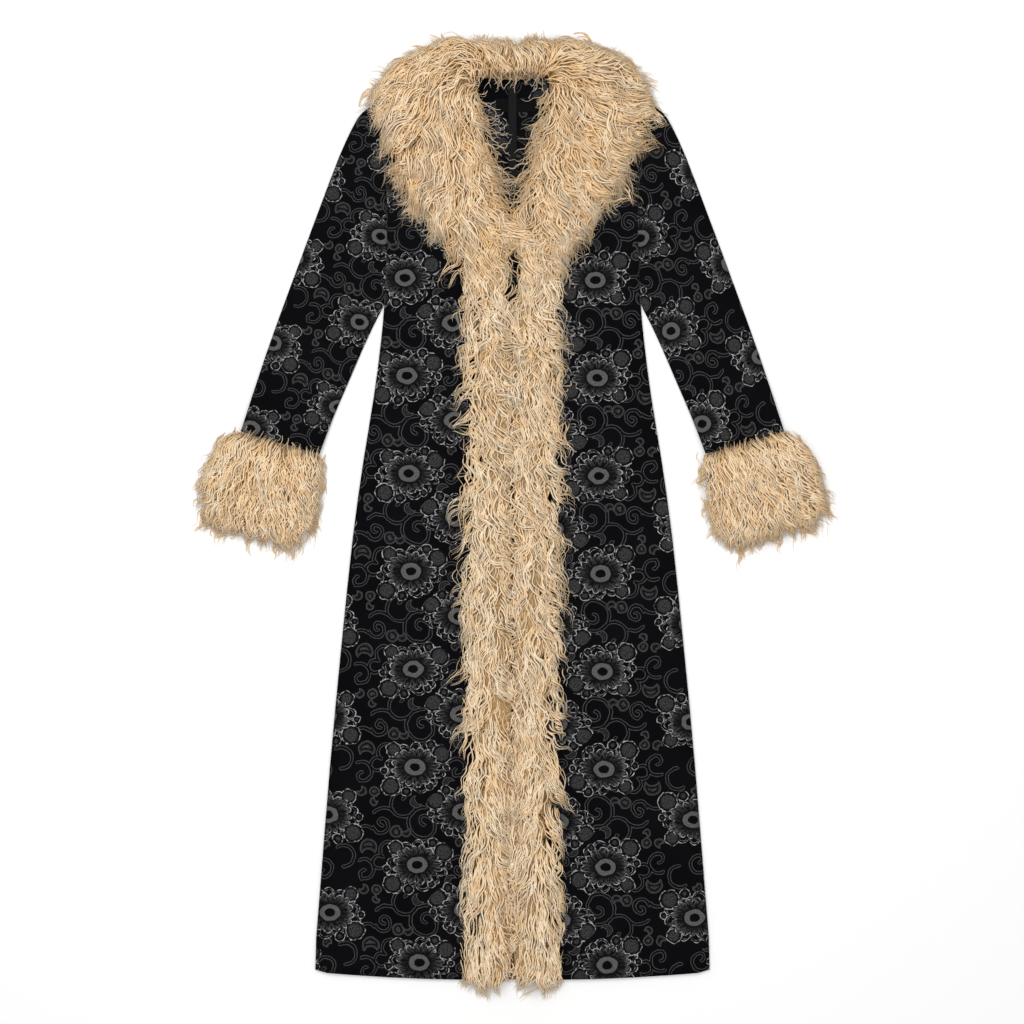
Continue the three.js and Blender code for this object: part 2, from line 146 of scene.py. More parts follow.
def newMaterial(name, roughness, specular):
    material = bpy.data.materials.new(name)
    material.use_nodes = True
    tree = material.node_tree
    shader = tree.nodes["Principled BSDF"]
    shader.inputs["Roughness"].default_value = roughness
    shader.inputs["Specular IOR Level"].default_value = specular
    return material, Link(tree), shader


def feed(material, shader, socket, link):
    material.node_tree.links.new(shader.inputs[socket], link.socket)


def objectPlace(start):
    return start.node("ShaderNodeTexCoord", out=3)


def mixColour(factor, first, second):
    # sockets 6 and 7 are the colour pair, and output 2 the mixed colour
    return factor.node("ShaderNodeMix", {"data_type": "RGBA"}, {0: factor, 6: first, 7: second}, out=2)


def rowsOf(columns, *rows):  # a short table as a dictionary for each row
    return [dict(zip(columns.split(), row)) for row in rows]


# Every size and place here is in millimetres, the places from the middle of the main daisy,
# x to the right and y up. A tone is a share of the thread's colour.
floral = {
    "tile": (203.0, 147.6),
    "secondDaisy": (70.0, -69.0),
    "hole": 7.9, "ring": 15.6, "squash": 0.80, "uneven": 1.6,
    "petals": 16, "petalFrom": 16.5, "petalTo": 37.0, "notch": 7.0, "petalFade": 19.0,
    "frills": 13, "frillTo": 48.0, "frillNotch": 9.5, "frillGap": 4.2,
    "vineGap": 2.05, "vineHalfWidth": 0.5, "lineHalfWidth": 0.55, "thinHalfWidth": 0.45, "softEdge": 0.7,
    "speckle": 0.5, "dashes": 0.19, "ruffle": 0.16, "waver": 0.09, "waverBy": 1.8,
    "lineTone": 0.060, "fillTone": 0.094, "ringTone": 0.086, "stitchTone": 0.50, "budTone": 0.032,
}

# Round buds beside a daisy: centre, radius of the stippled disc, radius of the outline.
buds = rowsOf(
    "x y disc outline",
    (40.4, 18.7, 10.5, 14.5),
    (-37.3, -28.0, 10.5, 14.5),
    (-31.7, 26.7, 8.0, 11.5),
    (24.3, 33.0, 3.6, 7.6),
    (-14.3, -36.5, 3.2, 7.6),
    (21.1, -29.5, 2.2, 5.8),
    (47.6, -2.0, 1.6, 5.0),
    (-46.6, -4.4, 1.6, 5.4),
)

# Vine scrolls as arcs of circles: centre, radius, the arc's middle direction and half its span.
scrolls = rowsOf(
    "x y radius towards half",
    (-48.5, -81.0, 20.5, 90, 46),  # wave's crest
    (-18.7, -55.5, 19.0, 232, 116),  # round branch above it
    (-22.5, -43.0, 6.0, 20, 80),  # its hook
    (11.1, -84.3, 23.2, 172, 92),  # large scroll
    (11.1, -90.6, 17.0, -8, 92),
    (12.5, -80.5, 6.7, 170, 98),
    (-53.4, -87.4, 11.1, -40, 128),  # small scroll
    (-51.6, -82.0, 5.2, 180, 96),
    (-78.0, -103.6, 16.5, 86, 42),
    (-80.5, -4.4, 14.9, 4, 112),  # scroll left of the daisy
    (-79.6, -12.4, 6.9, 182, 92),
    (-111.0, 16.0, 16.0, 15, 108),
    (-57.6, 5.5, 9.7, 180, 118),
    (-42.3, 22.9, 13.0, 155, 74),
    (62.0, -1.9, 13.0, 20, 118),  # scroll right of it
    (62.5, -9.6, 5.4, 196, 96),
    (38.0, -62.0, 21.0, 120, 34),
)

# Leaves: two circles each, the second cut from the first where it bites.
leaves = rowsOf(
    "x y radius core biteX biteY bite",
    (-30.5, 51.0, 9.4, 3.9, 9, 7, 3.5),
    (-15.8, 49.2, 7.4, 1.8, -2, 8, 6.0),
    (-81.5, -34.8, 7.6, 2.6, -5, 5, 4.5),
    (-62.0, -36.0, 7.8, 3.2, 7, -8, 4.0),
    (-62.8, -50.5, 6.4, 1.6, 5, 5, 4.5),
    (0.5, -52.4, 9.4, 2.4, 6, 4, 7.7),
    (-72.9, 28.0, 13.0, 7.5, 0, -13, 10.5),
    (50.2, -25.4, 9.4, 2.4, 6, -4, 7.7),
    (65.0, 33.5, 7.2, 2.4, 6, -7, 5.0),
)


def wrapped(place, centre=(0, 0)):
    # the offset from the nearest repeat of a centre
    width, height = floral["tile"]
    offset = place.vectorMaths("SUBTRACT", place, (*centre, 0))
    most = (width / 2, height / 2, 1)
    return offset.vectorMaths("WRAP", offset, most, tuple(-value for value in most))


def lengthOf(vector):
    return vector.vectorMaths("LENGTH", vector, out=1)


def lineAt(distance, halfWidth):  # 1 on a line where the distance is nought, with soft edges
    return (halfWidth - abs(distance)).inside(floral["softEdge"])


def arcDistance(place, arc):
    offset = wrapped(place, (arc["x"], arc["y"]))
    far = lengthOf(offset)
    middle = math.radians(arc["towards"])
    towards = offset.vectorMaths("DOT_PRODUCT", offset, (math.cos(middle), math.sin(middle), 0), out=1)
    beyond = (far * math.cos(math.radians(arc["half"])) - towards).most(0)
    return abs(far - arc["radius"]) + beyond


def drawDaisy(place, grain, dashes):
    # the nearer of the two daisies; the second is the mirror image of the first
    first = wrapped(place)
    second = wrapped(place, floral["secondDaisy"])
    second = second.vectorMaths("MULTIPLY", second, (-1, 1, 1))
    isFirst = (lengthOf(second) - lengthOf(first)).inside(0.01)
    near = first.node("ShaderNodeMix", {"data_type": "VECTOR"}, {0: isFirst, 4: second, 5: first}, out=1)
    x, y, _ = near.parts()
    y = y / floral["squash"]
    radius = (x * x + y * y).root()
    angle = y.maths("ARCTAN2", y, x)
    angle = angle + 0.06 * (angle * 3 + 1).sine()

    def lobe(count, turn):  # 0 along the middle of a petal and 1 between two petals
        share = angle * (count / math.tau) + (count + turn)
        return abs(share.fract() - 0.5) * 2

    between = lobe(floral["petals"], 0.2)
    uneven = floral["uneven"] * (angle * 5 + 2).sine()
    reach = (floral["petalTo"] - floral["notch"] * between * between) + uneven
    onPetal = (reach - radius).inside(0.8)
    outwards = ((radius - floral["petalFrom"]) / floral["petalFade"]).most(0)
    fan = near.node("ShaderNodeCombineXYZ", {}, {0: angle * 5, 1: radius * 0.05})
    rays = ((fan.noise(2.2, 1.0) - 0.5) * 9 + 0.3).most(0).least(1)
    halfPetal = radius * (math.pi / floral["petals"])
    parting = lineAt((1 - between) * halfPetal, 0.5) * onPetal * outwards
    fill = onPetal * outwards.least(1) * (0.05 + 0.95 * rays) * (0.4 + 0.8 * grain)
    outline = lineAt(radius - reach, floral["lineHalfWidth"]) * (0.10 + 0.90 * dashes)
    ring = (radius - floral["hole"]).inside(0.8) * (floral["ring"] + 0.12 * uneven - radius).inside(0.8)
    tone = (ring * (0.7 + 0.6 * grain) * floral["ringTone"]).most(fill * floral["fillTone"])
    tone = tone.most(parting * floral["lineTone"]).most(outline * floral["stitchTone"])

    bare = (radius - reach - 0.8).inside(0.8)  # 1 where nothing is drawn yet
    for bud in buds:
        offset = near.vectorMaths("SUBTRACT", near, (bud["x"], bud["y"], 0))
        far = lengthOf(offset)
        edge = bud["outline"] * (0.84 + 0.32 * offset.noise(floral["ruffle"], 0.0))
        disc = (bud["disc"] - far).inside(2.5) * (0.15 + 1.5 * grain) * floral["budTone"]
        line = lineAt(far - edge, 0.5) * (0.08 + 0.70 * dashes) * floral["stitchTone"]
        tone = tone.most(disc.most(line) * bare)
        bare = bare * (far - edge - 0.6).inside()

    frill = lobe(floral["frills"], 0.35)
    frillReach = floral["frillTo"] - floral["frillNotch"] * frill * frill + uneven * 1.5
    frillLine = lineAt(radius - frillReach, floral["lineHalfWidth"]) * (0.1 + 0.9 * dashes) * bare
    halfFrill = radius * (math.pi / floral["frills"])
    spokes = lineAt((1 - frill) * halfFrill, floral["thinHalfWidth"]) * bare * (frillReach - radius).inside()
    innerFrill = lineAt(radius - frillReach + floral["frillGap"], floral["thinHalfWidth"])
    innerFrill = innerFrill * (0.1 + 0.6 * dashes) * bare
    tone = tone.most(frillLine * floral["stitchTone"]).most(innerFrill * (0.6 * floral["stitchTone"]))
    tone = tone.most(spokes * (1.4 * floral["lineTone"]))
    return tone, bare * (radius - frillReach).inside()


def drawVines(place):
    # each vine is a pair of thin lines
    distance = arcDistance(place, scrolls[0])
    for arc in scrolls[1:]:
        distance = distance.least(arcDistance(place, arc))
    return lineAt(distance - floral["vineGap"], floral["vineHalfWidth"])


def drawLeaves(place, grain):
    tone, bare = None, None
    for leaf in leaves:
        offset = wrapped(place, (leaf["x"], leaf["y"]))
        bitten = offset.vectorMaths("SUBTRACT", offset, (leaf["biteX"], leaf["biteY"], 0))
        depth = (leaf["radius"] - lengthOf(offset)).least(lengthOf(bitten) - leaf["bite"])
        edge = lineAt(depth - 0.6, 0.6)
        inner = lineAt(depth - 0.45 * (leaf["radius"] - leaf["core"]), floral["thinHalfWidth"])
        body = (depth - leaf["radius"] + leaf["core"]).inside(1.2) * (0.2 + grain)
        here = edge.most(inner * 0.6).most(body * 0.8)
        outside = (0 - depth).inside()
        tone = here if tone is None else tone.most(here)
        bare = outside if bare is None else bare * outside
    return tone, bare


def printGroup():
    tree = bpy.data.node_groups.new("floralPrint", "ShaderNodeTree")
    tree.interface.new_socket("Place", in_out="INPUT", socket_type="NodeSocketVector")
    tree.interface.new_socket("Tone", in_out="OUTPUT", socket_type="NodeSocketFloat")
    place = Link(tree, tree.nodes.new("NodeGroupInput").outputs[0])
    grain = ((place.noise(floral["speckle"], 1.0) - 0.5) * 3 + 0.5).most(0).least(1)
    dashes = ((place.noise(floral["dashes"], 1.0) - 0.44) * 9).most(0).least(1)
    # the drawn lines waver a little, as on a printed cloth
    by = floral["waverBy"]
    waver = place.noise(floral["waver"], 1.0, out=1)
    shift = place.vectorMaths("MULTIPLY_ADD", waver, (2 * by, 2 * by, 0), (-by, -by, 0))
    drawn = place.vectorMaths("ADD", place, shift)
    daisy, aroundDaisy = drawDaisy(drawn, grain, dashes)
    leaf, aroundLeaf = drawLeaves(drawn, grain)
    vine = drawVines(drawn)
    growth = leaf.most(vine * aroundLeaf) * (0.72 + 0.5 * grain) * floral["lineTone"]
    tone = daisy.most(growth * aroundDaisy)
    end = tree.nodes.new("NodeGroupOutput")
    tree.links.new(end.inputs[0], tone.socket)
    return tree


floralPrint = printGroup()

velvet = {
    "roughness": 0.9, "specular": 0.03, "bump": 0.35, "cloudSize": 14.0, "napSize": 900.0,
    "napDepth": 0.00025, "thread": (1.0, 0.985, 0.96, 1),
    "shadow": (0.0013, 0.0013, 0.0020, 1), "ground": (0.0048, 0.0048, 0.0064, 1),
}


def velvetMaterial(name, turn, daisy, scale=(1.0, 1.0)):
    # turn in degrees, and the place of one main daisy in millimetres
    material, start, shader = newMaterial(name, velvet["roughness"], velvet["specular"])
    spot = objectPlace(start)
    placed = start.node("ShaderNodeMapping", {"vector_type": "TEXTURE"}, {
        "Vector": spot, "Location": (daisy[0] * mm, daisy[1] * mm, 0),
        "Rotation": (0, 0, math.radians(turn)), "Scale": (mm * scale[0], mm * scale[1], mm)})
    flat = placed.vectorMaths("MULTIPLY", placed, (1, 1, 0))
    tone = start.node("ShaderNodeGroup", {"node_tree": floralPrint}, {0: flat})
    cloudy = spot.noise(velvet["cloudSize"], 3.0)
    weave = spot.noise(velvet["napSize"], 2.0)
    ground = mixColour(cloudy, velvet["shadow"], velvet["ground"])
    shade = tone * (0.8 + 0.4 * weave)
    feed(material, shader, "Base Color", mixColour(shade, ground, velvet["thread"]))
    feed(material, shader, "Normal", (weave + 2 * tone).bump(velvet["bump"], velvet["napDepth"]))
    return material


# One main daisy of each panel, how the print is turned there, and its scale across and along.
printPlaces = {
    "front_right": {"turn": 1.2, "daisy": (-153.0, -85.0)},
    "front_left": {"turn": 181.0, "daisy": (132.75, -88.5)},
    "back_right": {"turn": 1.2, "daisy": (-110.0, -85.0)},
    "back_left": {"turn": 1.2, "daisy": (-110.0, -85.0)},
    "sleeve_right": {"turn": -14.0, "daisy": (-230.6, 291.0), "scale": (0.9, 0.9)},
    "sleeve_left": {"turn": 198.2, "daisy": (239.0, 277.5), "scale": (0.88, 1.0)},
}


cloth = {"cell": 0.020, "swell": 0.0005, "swellSize": 0.11, "mergeWithin": 1e-5, "creaseAngle": 50}


def copyOfNode(node, name):
    # the node's surface as one merged mesh in a new object
    made = bmesh.new()
    made.from_mesh(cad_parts[node].data)
    bmesh.ops.remove_doubles(made, verts=made.verts, dist=cloth["mergeWithin"])
    mesh = bpy.data.meshes.new(name)
    made.to_mesh(mesh)
    made.free()
    piece = bpy.data.objects.new(name, mesh)
    bpy.context.collection.objects.link(piece)
    return piece


def cutIntoCells(made, size):
    for axis in (0, 1):
        low = min(vert.co[axis] for vert in made.verts)
        high = max(vert.co[axis] for vert in made.verts)
        for step in range(1, math.ceil((high - low) / size)):
            point, normal = Vector((0, 0, 0)), Vector((0, 0, 0))
            point[axis], normal[axis] = low + step * size, 1
            everything = made.verts[:] + made.edges[:] + made.faces[:]
            bmesh.ops.bisect_plane(made, geom=everything, plane_co=point, plane_no=normal,
                                   dist=cloth["mergeWithin"])


def wear(piece, material):  # smooth all over, in this material alone
    for face in piece.data.polygons:
        face.use_smooth = True
    piece.data.materials.clear()
    piece.data.materials.append(material)


def clothPiece(node):
    piece = copyOfNode(node, node + "_cloth")
    made = bmesh.new()
    made.from_mesh(piece.data)
    cutIntoCells(made, cloth["cell"])
    part = node.split("_")[0]
    liesFree = part != "back"  # the back lies flat on the floor
    for vert in made.verts:
        x, y, _ = vert.co / cloth["swellSize"]
        swell = math.sin(2.3 * x + 1.1 * y) * math.sin(1.7 * y - 0.8 * x + 1)
        vert.co.z += cloth["swell"] * (1 + swell) * liesFree
    made.to_mesh(piece.data)
    made.free()
    wear(piece, velvetMaterial(node + "_velvet", **printPlaces[node]))
    piece.data.set_sharp_from_angle(angle=math.radians(cloth["creaseAngle"]))
    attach(piece, "root")
    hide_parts(node)


def blurred(values, times=1):
    for _ in range(times):
        padded = np.pad(values, 1, mode="edge")
        rows = (padded[:-2] + 2 * padded[1:-1] + padded[2:]) / 4
        values = (rows[:, :-2] + 2 * rows[:, 1:-1] + rows[:, 2:]) / 4
    return values


def unit(vectors):
    return vectors / (np.linalg.norm(vectors, axis=1, keepdims=True) + 1e-12)


def turned(vectors, angles):
    cosine, sine = np.cos(angles), np.sin(angles)
    return np.stack([vectors[:, 0] * cosine - vectors[:, 1] * sine,
                     vectors[:, 0] * sine + vectors[:, 1] * cosine], axis=1)


def smoothStep(values, low, high):
    share = np.clip((values - low) / (high - low), 0, 1)
    return share * share * (3 - 2 * share)


def grown(mask, times=1):  # a mask of cells widened by one cell, or narrowed where times is negative
    if times < 0:
        return ~grown(~mask, -times)
    for _ in range(times):
        padded = np.pad(mask, 1)
        mask = mask | padded[2:, 1:-1] | padded[:-2, 1:-1] | padded[1:-1, 2:] | padded[1:-1, :-2]
    return mask


# What changes up the coat: the heights between which it does, and its share below and above them.
upCoat = {
    "creaseDepth": (-0.60, 0.10, 2.7, 1.0),
    "notchesHem": (-0.69, -0.64, 0.4, 1.0),   # in the fur's outline
    "notchesTop": (0.64, 0.69, 1.0, 0.25),
    "turns": (-0.64, -0.40, 0.45, 1.0),       # the locks are straighter at the hem
    "sway": (-0.66, 0.20, 0.55, 1.2),         # and their curls open
    "meeting": (0.650, 0.685, 1.0, 0.25),     # the tufts are blunt along the top
    "pastHem": (-0.68, -0.48, 0.5, 1.0),      # how far the tips stand out
    "pastTop": (0.66, 0.70, 1.0, 0.4),
}


def shareAt(y, name):
    low, high, below, above = upCoat[name]
    return below + (above - below) * smoothStep(y, low, high)


furGrid = {"spacing": 0.003, "margin": 0.06, "thinnest": 0.0015, "depthCells": 12}
clumps = {"height": 0.0020, "blur": 14, "rim": (0.004, 0.016)}
ragged = {"most": 0.012, "blur": 6, "share": (0.3, 0.6)}
neckRoll = {"half": 0.075, "from": 0.640, "to": 0.690}
# The fur sinks along the middle, where its two sides meet, and they part from partFrom to partTo.
crease = {
    "depth": 0.007, "width": 0.008, "partHalf": 0.0045, "peltHalf": 0.012, "partFrom": 0.320, "partTo": 0.402,
}


def highest(values, times):  # the highest of each cell and its neighbours
    for _ in range(times):
        padded = np.pad(values, 1, mode="edge")
        rows = np.maximum(np.maximum(padded[:-2], padded[1:-1]), padded[2:])
        values = np.maximum(np.maximum(rows[:, :-2], rows[:, 1:-1]), rows[:, 2:])
    return values


class FurField:
    # The fur seen from above on a grid: its top, what lies under it, and how deep inside
    # the fur's outline a place is.
    def __init__(self, furs, cloths):
        spacing, margin = furGrid["spacing"], furGrid["margin"]
        boxes = np.array([[corner[:2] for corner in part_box(name)] for name in furs])
        low, high = boxes[:, 0].min(0) - margin, boxes[:, 1].max(0) + margin
        self.spacing, self.corner = spacing, low
        self.shape = tuple(np.ceil((high - low) / spacing).astype(int) + 1)
        ground = np.zeros(self.shape)
        for name in cloths:
            ground = np.fmax(ground, self.cast(name)[0])
        self.solids, top, under = {}, ground + furGrid["thinnest"], ground
        for name in furs:
            above, below = self.cast(name)
            self.solids[name] = blurred(np.isfinite(above) * 1.0)
            top, under = np.fmax(top, above), np.where(np.isfinite(below), below, under)
        whole = grown(grown(sum(self.solids.values()) > 0.5, 2), -2)
        x, y = (self.corner[k] + spacing * np.arange(self.shape[k]) for k in (0, 1))
        x, y = np.meshgrid(x, y, indexing="ij")
        # the two bands part below the neck, and lie close below that
        whole &= ~((abs(x) < crease["partHalf"]) & (y > crease["partFrom"]) & (y < crease["partTo"]))
        self.body = blurred(whole * 1.0)
        depths = range(1, furGrid["depthCells"] + 1)
        self.inside = blurred(sum(grown(whole, -step) * spacing for step in depths))
        # the tufts' ragged outline: how far the fur draws back from its own outline
        notches = blurred(np.random.default_rng(5).normal(size=self.shape), ragged["blur"])
        notches = np.clip(ragged["share"][0] + ragged["share"][1] * notches / notches.std(), 0, 1)
        self.notch = ragged["most"] * shareAt(y, "notchesHem") * shareAt(y, "notchesTop") * notches
        self.deep = self.inside - self.notch
        top = -highest(-highest(top, 3), 3)
        # the roll at the back neck is full right up to its lower edge
        inRoll = (abs(x) < neckRoll["half"]) & (y > neckRoll["from"]) & (y < neckRoll["to"])
        top = np.where(inRoll, highest(top, 3), top)
        sunk = np.exp(-(x / crease["width"]) ** 2) * (y < crease["partTo"])
        top = top - crease["depth"] * sunk * shareAt(y, "creaseDepth")
        self.top, self.under = blurred(top, 3), blurred(under, 2)
        # the fur stands a little higher and lower from place to place, but not at its rim
        uneven = blurred(np.random.default_rng(7).normal(size=self.shape), clumps["blur"])
        self.top += clumps["height"] / uneven.std() * uneven * smoothStep(self.inside, *clumps["rim"])

    def cast(self, name):
        # heights where upright lines first and last meet a node, and nothing where they miss it
        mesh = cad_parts[name].data
        tree = BVHTree.FromPolygons([v.co for v in mesh.vertices], [p.vertices for p in mesh.polygons])
        above, below = np.full(self.shape, np.nan), np.full(self.shape, np.nan)
        low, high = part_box(name)
        start = np.maximum(((np.array(low[:2]) - self.corner) / self.spacing).astype(int), 0)
        end = np.minimum(((np.array(high[:2]) - self.corner) / self.spacing).astype(int) + 2, self.shape)
        for i in range(start[0], end[0]):
            for j in range(start[1], end[1]):
                x, y = self.corner + self.spacing * np.array([i, j])
                hit = tree.ray_cast(Vector((x, y, 1)), Vector((0, 0, -1)))[0]
                if hit:
                    above[i, j] = hit.z
                    below[i, j] = tree.ray_cast(Vector((x, y, -1)), Vector((0, 0, 1)))[0].z
        return above, below

    def read(self, values, places):
        spot = (places[..., :2] - self.corner) / self.spacing
        spot = np.clip(spot, 0, np.array(self.shape) - 1.001)
        cell = spot.astype(int)
        i, j = cell[..., 0], cell[..., 1]
        u, v = (spot - cell)[..., 0], (spot - cell)[..., 1]
        near = values[i, j] * (1 - u) + values[i + 1, j] * u
        far = values[i, j + 1] * (1 - u) + values[i + 1, j + 1] * u
        return near * (1 - v) + far * v


strand = {
    "steps": 13, "sides": 3, "cellColumns": 64, "flatness": 0.8, "loop": 0.35, "rollUp": 0.5,
    "ceiling": cadBox[1][2] + 0.007, "lockStray": 0.6, "ownStray": 0.3, "finer": 0.5, "finePast": 1.5,
    "ownPast": (-0.006, 0.006), "shortOfMiddle": (-0.005, 0.001), "middle": 0.012, "abovePart": 0.010,
    "pressedHeight": (0.0006, 0.0032), "riseBy": 0.2, "dipFrom": 0.6, "rim": 0.014, "thickFur": 0.02,
}
# The steps of a sequence that fills a square evenly, and how many rounds bring its count right.
evenly = {"steps": (0.7548776662, 0.5698402910), "tried": 40000, "rounds": 3, "beyond": 0.03, "shoves": 6}


def scatterRoots(field, node, look, flow, rng, wanted):
    # roots spread evenly over the fur, but not where its outline is close ahead
    low, high = (np.array(corner[:2]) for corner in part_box(node))
    tried, beyond = evenly["tried"], evenly["beyond"]
    for _ in range(evenly["rounds"]):
        square = (np.outer(np.arange(tried), evenly["steps"]) + rng.random(2)) % 1
        roots = low - beyond + square * ((high - low).max() + 2 * beyond)
        roots = roots + rng.normal(0, look["scatter"], (tried, 2))
        roots = roots[(roots < high + beyond).all(1)]
        for _ in range(evenly["shoves"]):  # roots from before the seam crowd up to it and cover it too
            before = field.read(field.solids[node], roots) < 0.4
            roots[before] += flow(roots[before]) * look["rootBack"] / evenly["shoves"]
        ahead = roots + flow(roots) * rng.uniform(*look["rootAhead"], (len(roots), 1))
        roots = roots[(field.read(field.body, ahead) > 0.5) & (field.read(field.solids[node], roots) > 0.4)]
        tried = round(tried * wanted / len(roots))
    return roots


def traceStrands(field, node, look, flow, rng):
    # strands grow in locks of a few that curl alike, and neighbouring locks meet in a tuft's tip
    perLock, steps = look["perLock"], strand["steps"]
    locks = scatterRoots(field, node, look, flow, rng, look["strands"] // perLock)
    tufts = scatterRoots(field, node, look, flow, rng, look["tufts"])
    apart = np.linalg.norm(locks[:, None] - tufts[None], axis=2)
    count = len(locks) * perLock
    ofLock = np.repeat(np.arange(len(locks)), perLock)
    ofTuft = apart.argmin(axis=1)[ofLock]

    def varied(name, own):  # a value of the lock's, and a smaller one of each strand's own
        low, high = look[name]
        lockValue = rng.uniform(low, high, len(locks))[ofLock]
        return lockValue + own * (high - low) * rng.uniform(-0.5, 0.5, count)

    spread = rng.normal(0, look["lockRadius"], (count, 2))
    length = varied("length", 0.4)
    wave = varied("wave", 0.2)
    swing = varied("swing", 0.3) * wave
    phase = rng.uniform(0, math.tau, len(tufts))[ofTuft] + rng.normal(0, look["lockWave"], len(locks))[ofLock]
    phase += rng.normal(0, look["ownWave"], count)
    handed = np.where(rng.random(len(tufts)) < 0.5, 1, -1)[ofTuft]
    lockY = locks[ofLock][:, 1]
    tuftTurn = np.radians(rng.normal(0, look["stray"], len(tufts)))[ofTuft]
    ownTurn = tuftTurn + np.radians(rng.normal(0, look["stray"] * strand["lockStray"], len(locks)))[ofLock]
    ownTurn += np.radians(rng.normal(0, look["stray"] * strand["ownStray"], count))
    ownTurn, tuftTurn = ownTurn * shareAt(lockY, "turns"), tuftTurn * shareAt(lockY, "turns")
    depth = varied("depth", 0.4) + rng.normal(0, look["tuftDepth"], len(tufts))[ofTuft]
    pressed = rng.random(count) < look.get("pressedShare", 0)  # strands on the fur's underside
    pressedHeight = rng.uniform(*strand["pressedHeight"], count)
    fine = rng.random(count) < look["fineShare"]
    meet = look["meet"] * shareAt(lockY, "meeting")
    share = np.linspace(0, 1, steps + 1)[None, :]

    def walk(start, turn, length):
        path = [start]
        for _ in range(steps):
            path.append(path[-1] + turned(flow(path[-1]), turn) * (length / steps)[:, None])
        return np.stack(path, axis=1)

    def tracks(length):
        own = walk(locks[ofLock] + 0.4 * spread, ownTurn, length)
        shared = walk(tufts[ofTuft], tuftTurn, length)
        return own + (shared - own) * (meet[:, None] * share ** 1.4)[..., None]

    path = tracks(length)
    # a strand stops a little before or past the fur's outline
    outside = (field.read(field.body, path) < 0.5) | (field.read(field.deep, path) < 0)
    side = np.sign(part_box(node)[0][0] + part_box(node)[1][0])
    outside |= side * path[..., 0] < look.get("apart", -math.inf)
    outside[:, :steps // 4] = False
    firstOut = np.where(outside.any(1), outside.argmax(1), steps + 5)
    past = rng.uniform(*look["overhang"], len(tufts))[ofTuft] + rng.uniform(*strand["ownPast"], count)
    past *= np.where(fine, strand["finePast"], 1)
    # the hem's and the collar's tips are nearly level, and few cross the middle where the two sides meet
    exits = path[np.arange(count), np.minimum(firstOut, steps)]
    past *= shareAt(exits[:, 1], "pastHem") * shareAt(exits[:, 1], "pastTop")
    atMiddle = (abs(exits[:, 0]) < strand["middle"]) & (exits[:, 1] < crease["partTo"] + strand["abovePart"])
    heldBack = atMiddle & (rng.random(count) > look.get("crossing", 1))
    past = np.where(heldBack, rng.uniform(*strand["shortOfMiddle"], count), past)
    length = np.minimum(length, firstOut * length / steps + past)
    path = tracks(length)

    ahead = np.gradient(path, axis=1)
    ahead /= np.linalg.norm(ahead, axis=2, keepdims=True) + 1e-12
    across = np.stack([-ahead[..., 1], ahead[..., 0]], axis=2)
    angle = math.tau * share * (length / wave)[:, None] + phase[:, None]
    sway = swing[:, None] * (0.4 + 0.6 * np.minimum(1, 2.5 * share)) * shareAt(path[..., 1], "sway")
    path = path + across * (sway * np.sin(angle))[..., None]
    path += ahead * (handed[:, None] * strand["loop"] * sway * np.cos(angle))[..., None]
    path += 0.6 * spread[:, None, :] * (1 - look["gather"] * share[..., None])

    # up out of the undercoat, along the top, and down among the others at the tip
    top, under = field.read(field.top, path), field.read(field.under, path)
    rise = np.minimum(1, share / strand["riseBy"])
    dip = np.maximum(0, (share - strand["dipFrom"]) / (1 - strand["dipFrom"])) ** 2
    inside = field.read(field.inside, path)
    sunk = smoothStep(inside, 0.0, strand["rim"])
    lower = sunk * (depth[:, None] + look["rootSink"] * (1 - rise) ** 2) + look["tipDip"] * dip
    height = top - lower * np.clip((top - under) / strand["thickFur"], 0, 1)
    height = np.maximum(height + strand["rollUp"] * sway * np.cos(angle), under + look["clear"])
    height = np.where(pressed[:, None], under + pressedHeight[:, None], height)
    thick = rng.uniform(*look["radius"], count) * np.where(fine, strand["finer"], 1)
    taper = np.minimum(1, 0.6 + 2.5 * share) * (0.1 + 0.9 * np.power(1 - share, 0.6))
    taper = taper * (0.5 + 0.5 * np.minimum(1, inside / strand["rim"]))
    radii = thick[:, None] * taper
    height = np.clip(height, radii, strand["ceiling"])
    points = np.concatenate([path, height[..., None]], axis=2)
    keep = length > look["shortest"]
    deepFirst = np.argsort(-depth[keep])
    return points[keep][deepFirst], radii[keep][deepFirst]


# Angles in degrees, and the lean is from straight down.
wisps = {
    "alongV": 70, "rimY": (0.405, 0.640), "overRim": (0.001, 0.012), "lean": (5, 75),
    "atNeck": 26, "neckY": (0.664, 0.672), "neckX": (0.0, 0.052), "neckLean": (-50, 50), "neckLength": 0.7,
    "length": (0.018, 0.050), "bow": 60, "curl": (-260, 260), "curlShare": 0.2, "fallBy": (0.7, 1.6),
    "swing": (0.0006, 0.0022), "wave": (0.012, 0.024), "radius": (0.0005, 0.0009),
}


